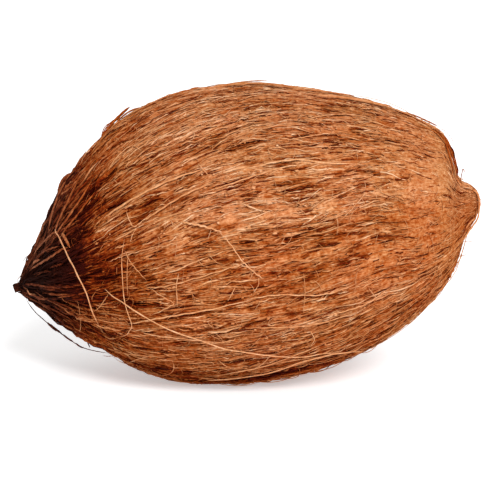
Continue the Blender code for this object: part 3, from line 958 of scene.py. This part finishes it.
# The frayed rim where the husk's outer layer ends at the crown, and the strands round its lobe
crownFray = [
    (1.3, 0.34, [(0.822, 99, -0.3), (0.84, 107, 0.1), (0.848, 119, 0.4), (0.853, 129, 0.5),
        (0.86, 137, 0.5), (0.869, 142, 0)]),
    (1.2, 0.3, [(0.836, 99, -0.2), (0.848, 111, 0.3), (0.856, 118, 0.7), (0.864, 125, 1), (0.872, 131, 1),
        (0.879, 134, 0.3)]),
    (1, 0.4, [(0.846, 103, 0), (0.858, 105, 0.7), (0.867, 111, 1.2), (0.874, 118, 1.2)]),
    (1, 0.12, [(0.857, 111, 0.8), (0.861, 114, 1.5), (0.866, 117, 1.3)]),
    (0.9, 0.14, [(0.866, 122, 0.9), (0.871, 126, 1.5), (0.876, 129, 1)]),
    (0.28, 0.34, [(0.836, 94, 0.2), (0.847, 95, 1.2), (0.855, 97, 2), (0.861, 99, 2.7)]),
    (0.55, 0.44, [(0.893, 117, 0), (0.886, 116.5, 1.2), (0.88, 116, 2.4), (0.877, 117, 3.1),
        (0.88, 120, 3.5)]),
    (0.9, 0.48, [(0.79, 111, -0.3), (0.812, 109, 0.1), (0.832, 111, 0.3), (0.846, 120, 0.3)]),
    (0.6, 0.6, [(0.835, 133, -0.2), (0.85, 138, 0.2), (0.86, 145, 0.3), (0.87, 152, -0.1)]),
    (1, 0.44, [(0.76, 84, -0.3), (0.79, 82, 0.3), (0.815, 80, 0.6), (0.838, 76, 1.1)]),
    (0.9, 0.4, [(0.8, 62, -0.3), (0.825, 60, 0.3), (0.842, 57, 0.8), (0.854, 52, 1.3)]),
    (1, 0.46, [(0.8, 44, -0.3), (0.82, 41, 0.4), (0.838, 36, 0.9), (0.85, 31, 1.2)]),
    (1.4, 0.68, [(0.93, 128, -0.4), (0.948, 140, 0.2), (0.957, 170, 0.45), (0.957, 192, 0.45),
        (0.949, 204, 0.1)]),
    (1, 0.7, [(0.957, 180, -0.2), (0.955, 194, 0.3), (0.948, 203, 0.6), (0.938, 207, 0.9), (0.92, 206, 1.1),
        (0.906, 206.5, 1), (0.897, 210, 0.3), (0.89, 214, -0.3)]),
    (0.8, 0.6, [(0.948, 196, -0.1), (0.938, 203, 0.3), (0.92, 201, 0.5), (0.904, 202, 0.2),
        (0.89, 205, -0.3)]),
    (0.5, 0.12, [(0.932, 199, 0.1), (0.915, 199, 0.1), (0.9, 202, 0.1), (0.886, 207, 0)]),
    (0.24, 0.4, [(0.893, 214, 0.2), (0.897, 217, 1.6), (0.901, 220, 3)]),
    (0.26, 0.4, [(0.878, 219, 0.1), (0.883, 223, 1.4), (0.888, 227, 2.6)]),
]

# A thin fibre that hangs under the stem point, with a lump of pith caught on it
hangingFibre = [
    (0.46, 0.1, [(0.036, 250, 0.1), (0.056, 250.5, 1.5), (0.08, 250.5, 2.7), (0.104, 249.5, 3.3),
        (0.128, 248, 3.7), (0.15, 246.5, 3.8), (0.176, 245.5, 3.7), (0.2, 244.5, 3.6), (0.218, 244, 2.8),
        (0.24, 243.5, 1.2), (0.256, 243, -0.1)]),
    (1.1, 0.1, [(0.116, 248.7, 3.45), (0.128, 247.9, 3.7), (0.143, 246.9, 3.7), (0.158, 246.2, 3.6)]),
    (1.5, 0.12, [(0.124, 248.2, 3.5), (0.132, 247.6, 3.7), (0.141, 247, 3.75), (0.149, 246.6, 3.6)]),
    (0.9, 0.1, [(0.16, 246.2, 3.6), (0.172, 245.7, 3.75), (0.186, 245.2, 3.6)]),
    (0.8, 0.12, [(0.19, 244.9, 3.5), (0.199, 244.5, 3.65), (0.208, 244.3, 3.4)]),
    (0.55, 0.12, [(0.124, 246, -0.2), (0.131, 247.5, 0.8), (0.14, 249, 1.8)]),
    (0.55, 0.14, [(0.204, 240, -0.2), (0.21, 241.5, 0.9), (0.218, 243, 2)]),
    (0.28, 0.34, [(0.262, 246, -0.1), (0.254, 248, 1.2), (0.244, 250, 2.2)]),
]


def placeStrands(rows, stations, rolled):
    # a smooth curve through each row's points
    along, grain, height = [np.empty((len(rows), stations)) for axis in range(3)]
    for number, (width, tone, points) in enumerate(rows):
        points = np.array(points)
        padded = np.vstack([2.0 * points[0] - points[1], points, 2.0 * points[-1] - points[-2]])
        where = np.linspace(0.0, len(points) - 1.0, stations)
        first = np.minimum(where.astype(int), len(points) - 2)
        t = (where - first)[:, None]
        a, b, c, d = [padded[first + step] for step in range(4)]
        curve = b + 0.5 * t * (c - a + t * (2.0 * a - 5.0 * b + 4.0 * c - d + t * (3.0 * (b - c) + d - a)))
        along[number], grain[number] = curve[:, 0], np.radians(curve[:, 1])
        height[number] = curve[:, 2] * millimetre
    widths = np.array([row[0] for row in rows])[:, None] * millimetre / 2.0
    tones = np.array([row[1] for row in rows])[:, None]
    share = np.linspace(0.0, 1.0, stations)[None, :]
    random = np.random.default_rng(71)
    wave = np.sin(2.0 * math.pi * (share * 7.0 + random.uniform(0.0, 1.0, (len(rows), 1))))
    grain = grain + 0.00012 * wave / ringSize(along)
    normals = fruitNormal(along, grain)
    taper = np.clip(1.0 - np.abs(2.0 * share - 1.0) ** 6, 0.15, 1.0)
    tones = tones + random.normal(0.0, 0.03, along.shape)
    roll = random.uniform(0.0, 6.0, (len(rows), 1))
    roll = roll + random.normal(0.0, 2.0, (len(rows), 1)) * share
    return {
        "routes": fruitPoint(along, grain) + normals * height[..., None], "normals": normals,
        "radius": widths * taper * (1.0 + 0.12 * wave), "tone": tones, "roll": rolled * roll,
    }


def crackShadeRows():
    # dark strips of painted shade laid end to end in the splits, with short gaps between them
    random = np.random.default_rng(91)
    rows = []
    for start, end, fromGrain, toGrain, width, deep in allSplits:
        place = start + random.uniform(0.0, 0.006)
        while place < end - 0.012:
            length = min(random.uniform(0.025, 0.090), end - place)
            points = []
            for step, height in enumerate((-0.75, -0.36, -0.32, -0.36, -0.75)):
                along = place + length * step / 4.0
                share = (along - start) / (end - start)
                grain = fromGrain + (toGrain - fromGrain) * share + random.normal(0.0, 0.30)
                points.append((along, grain, height))
            rows.append((width * random.uniform(0.55, 1.05), random.uniform(0.08, 0.20), points))
            place += length + random.uniform(0.004, 0.020)
    return rows


def scatterStrands(kind, seed):
    # fibres that lie across the others at their own angle, curling up at one end or at both
    random = np.random.default_rng(seed)
    count, stations = kind["count"], kind["stations"]
    length = random.uniform(*kind["length"], count)
    middle = spreadAlong(random, count, *kind["reach"])
    grain = random.uniform(0.0, 2.0 * math.pi, count)
    if "clear" in kind:
        low, high = kind["clear"]
        grain = math.radians(high) + (grain / (2.0 * math.pi)) * math.radians(360.0 - high + low)
    heading = random.normal(0.0, kind["heading"], count)
    curl = random.normal(0.0, kind["curl"], count)
    curlMore = random.normal(0.0, kind["curl"], count)
    step = length / (stations - 1)
    along = np.empty((count, stations))
    around = np.empty((count, stations))
    along[:, 0], around[:, 0] = middle, grain
    for station in range(1, stations):
        share = station / (stations - 1.0)
        angle = heading + curl * share + curlMore * share * share
        along[:, station] = along[:, station - 1] + np.cos(angle) * step / meridian
        around[:, station] = around[:, station - 1] + np.sin(angle) * step / ringSize(along[:, station - 1])
    along = np.clip(along, 0.004, 0.985)
    share = np.linspace(0.0, 1.0, stations)[None, :]
    both = random.uniform(0.0, 1.0, count)[:, None] < kind["bothEnds"]
    arch = np.where(both, np.sin(math.pi * share), smoothStep(0.0, 1.0, share))
    height = kind["root"] + random.uniform(0.3, 1.0, count)[:, None] * kind["lift"] * arch
    normals = fruitNormal(along, around)
    tone = random.normal(kind["tone"], kind["toneSpread"], count)[:, None]
    # the stains and the painted underside shade darken these fibres too
    tone = tone - kind["stainAndShade"] * stainAndUnderShadeAt(along, around)
    taper = np.clip(1.0 - np.abs(2.0 * share - 1.0) ** 5, 0.15, 1.0)
    width = random.uniform(*kind["width"], count)[:, None] / 2.0
    return {
        "routes": fruitPoint(along, around) + normals * height[..., None], "normals": normals,
        "radius": width * taper, "tone": tone + random.normal(0.0, 0.02, along.shape),
        "roll": random.uniform(0.0, 6.0, (count, 1)) + 0.0 * share,
    }


scattered = {
    "fuzz": {
        "count": 1900, "stations": 6, "length": (0.002, 0.007), "width": (0.00016, 0.00028),
        "heading": 0.9, "curl": 0.9, "lift": 0.0005, "root": -0.0004, "bothEnds": 0.6,
        "tone": 0.67, "toneSpread": 0.08, "stainAndShade": 0.8, "reach": (0.03, 0.96),
    },
    "loose_crossing": {
        "count": 90, "stations": 20, "length": (0.008, 0.040), "width": (0.00028, 0.00045),
        "heading": 0.7, "curl": 0.9, "lift": 0.0012, "root": -0.0001, "bothEnds": 0.8,
        "tone": 0.78, "toneSpread": 0.05, "stainAndShade": 0.6, "reach": (0.08, 0.90), "clear": (110.0, 225.0),
    },
}


# Pith: crumbs of the soft stuff between the fibres

pith = {"count": 1800, "size": (0.00024, 0.00052), "flatten": 0.5, "tone": 0.64, "reach": (0.12, 0.97)}


def makePith():
    deselectAll()
    bpy.ops.mesh.primitive_ico_sphere_add(subdivisions=1, radius=1.0)
    crumb = bpy.context.object
    bpy.ops.object.mode_set(mode="EDIT")
    bpy.ops.mesh.select_all(action="SELECT")
    bpy.ops.transform.vertex_random(offset=0.35, seed=5)
    bpy.ops.object.mode_set(mode="OBJECT")
    shape = readPoints(crumb.data)
    corners = np.array([v for face in crumb.data.polygons for v in face.vertices])
    counts = np.array([len(face.vertices) for face in crumb.data.polygons])
    bpy.data.objects.remove(crumb, do_unlink=True)
    random = np.random.default_rng(81)
    along = spreadAlong(random, pith["count"], *pith["reach"])
    grain = random.uniform(0.0, 2.0 * math.pi, pith["count"])
    normal = fruitNormal(along, grain)
    lengthwise = fruitPoint(along + 0.002, grain) - fruitPoint(along - 0.002, grain)
    lengthwise /= np.linalg.norm(lengthwise, axis=-1, keepdims=True)
    aside = np.cross(normal, lengthwise)
    size = random.uniform(*pith["size"], pith["count"])[:, None, None]
    stretch = random.uniform(1.0, 2.2, pith["count"])[:, None, None]
    ground, shade = readRelief(along, grain)
    centre = fruitPoint(along, grain) + normal * (ground * 0.7 - 0.0002)[:, None]
    points = centre[:, None] + lengthwise[:, None] * shape[None, :, :1] * size * stretch
    points = points + aside[:, None] * shape[None, :, 1:2] * size
    points = points + normal[:, None] * shape[None, :, 2:] * size * pith["flatten"]
    points[..., 2] = np.maximum(points[..., 2], clearance)
    angle = np.arctan2(shape[:, 1], shape[:, 0])[corners] / (2.0 * math.pi) + 0.5
    uv = np.stack([angle, 0.5 + 0.5 * shape[corners, 2]], -1)
    uv = (uv - uv.min(0)) / (uv.max(0) - uv.min(0))
    piece = buildCopies("pith", points, corners, counts, uv, strandCoir)
    # painted shade: the crumbs take the lighter hills and darker splits and underside from the relief,
    # besides the stains
    tone = random.normal(pith["tone"], 0.07, pith["count"]) + 0.8 * shade
    addNumbers(piece.data, "tone", np.repeat(tone, len(shape)))
    addPlaces(piece.data, "fibrePlace", points.reshape(-1, 3))
    return piece


# Stub: the dry end of the stalk

stub = {"sides": 8, "radius": 0.0016, "length": 0.0034, "rough": 0.00040, "buried": 0.0029, "tone": 0.0}


def makeStub():
    deselectAll()
    bpy.ops.mesh.primitive_cylinder_add(vertices=stub["sides"], radius=stub["radius"], depth=stub["length"])
    piece = bpy.context.object
    piece.name = "stem_stub"
    bpy.ops.object.mode_set(mode="EDIT")
    bpy.ops.mesh.select_all(action="SELECT")
    bpy.ops.mesh.subdivide(number_cuts=3)
    bpy.ops.transform.vertex_random(offset=stub["rough"], seed=3)
    bpy.ops.object.mode_set(mode="OBJECT")
    tip = Vector(fruitPoint(np.array(0.0), np.array(0.0)))
    ring = fruitPoint(np.full(24, 0.03), np.linspace(0.0, 2.0 * math.pi, 24, endpoint=False))
    outward = (tip - Vector(ring.mean(0))).normalized()
    piece.location = tip + outward * (stub["length"] / 2.0 - stub["buried"])
    piece.rotation_euler = outward.to_track_quat("Z", "Y").to_euler()
    bpy.ops.object.transform_apply(location=True, rotation=True, scale=True)
    bpy.ops.object.shade_smooth()
    points = readPoints(piece.data)
    addNumbers(piece.data, "tone", np.full(len(points), stub["tone"]))
    addPlaces(piece.data, "fibrePlace", points)
    piece.data.materials.append(strandCoir)
    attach(piece, "root")
    print("stem_stub:", len(points), "points")
    return piece


makeHusk()
for number, (name, own) in enumerate(layers.items()):
    layer = {**usualLayer, **own}
    strands = layStrands(layer, 100 + number)
    bendCopies(name, makeBlank(3, layer["stations"]), strands, strandCoir, layer["flatten"])
for number, (name, kind) in enumerate(scattered.items()):
    bendCopies(name, makeBlank(3, kind["stations"]), scatterStrands(kind, 200 + number), strandCoir)

# Name, rows, sides and stations of its blank, whether each one is rolled, how flat it is
placed = [
    ("ropes", ropes, 5, 26, True, 0.8),
    ("stem_ridges", stemRidges, 7, 24, False, 0.6),
    # dark strips laid in the splits as painted shade
    ("split_shade_strips", crackShadeRows(), 3, 12, False, 0.5),
    ("loose_strips", looseStrips, 6, 20, False, 0.7),
    ("loose_fibres", looseFibres, 5, 34, True, 0.8),
    ("crown_fray", crownFray, 5, 24, False, 0.6),
    ("hanging_fibre", hangingFibre, 5, 30, True, 0.8),
]
for name, rows, sides, stations, rolled, flatten in placed:
    strands = placeStrands(rows, stations, rolled)
    bendCopies(name, makeBlank(sides, stations), strands, strandCoir, flatten)
makePith()
makeStub()


# Floor, lights and camera

studio = {
    "floorSize": 60.0, "floorGlow": 0.42,
    "skyStrength": 0.58,
    "keyStrength": 3.05,
    "keySoftness": math.radians(22),
    "keyFrom": (0.28, -0.80, 0.53),
    "distance": 0.95,
    "azimuth": math.radians(0.0),
    "elevation": math.radians(10.0),
    "viewWidth": 0.1916,    # how wide a stretch the camera takes in, at the fruit
    "aimUp": 0.0484,        # aim point above the fruit's bottom edge
    "aimSide": 0.0012,
}


def makeStudio():
    deselectAll()
    bpy.ops.mesh.primitive_plane_add(size=studio["floorSize"], location=(0, 0, 0))
    floor = bpy.context.object
    floor.name = "floor"
    material, nodes, links, shader = newMaterial("floor_white")
    shader.inputs["Base Color"].default_value = (0.9, 0.9, 0.9, 1)
    shader.inputs["Roughness"].default_value = 0.9
    shader.inputs["Emission Color"].default_value = (1, 1, 1, 1)
    shader.inputs["Emission Strength"].default_value = studio["floorGlow"]
    floor.data.materials.append(material)

    world = bpy.data.worlds.new("studio")
    world.use_nodes = True
    world.node_tree.nodes["Background"].inputs["Color"].default_value = (1, 1, 1, 1)
    world.node_tree.nodes["Background"].inputs["Strength"].default_value = studio["skyStrength"]
    bpy.context.scene.world = world

    bpy.ops.object.light_add(type="SUN", location=(0.5, -0.8, 1.0))
    key = bpy.context.object
    key.name = "key"
    key.data.energy = studio["keyStrength"]
    key.data.angle = studio["keySoftness"]
    key.rotation_euler = Vector(studio["keyFrom"]).to_track_quat("Z", "Y").to_euler()

    el, az = studio["elevation"], studio["azimuth"]
    right = Vector((math.cos(az), math.sin(az), 0.0))
    back = Vector((math.sin(az) * math.cos(el), -math.cos(az) * math.cos(el), math.sin(el)))
    up = back.cross(right)
    aim = up * studio["aimUp"] + right * studio["aimSide"]
    at = aim + back * studio["distance"]
    bpy.ops.object.camera_add(location=at, rotation=back.to_track_quat("Z", "Y").to_euler())
    camera = bpy.context.object
    camera.name = "camera"
    camera.data.sensor_width = 36.0
    camera.data.lens = 36.0 * studio["distance"] / studio["viewWidth"]
    bpy.context.scene.camera = camera
    bpy.context.scene.view_settings.view_transform = "Standard"
    print("studio: floor, sky, key light and camera")


makeStudio()
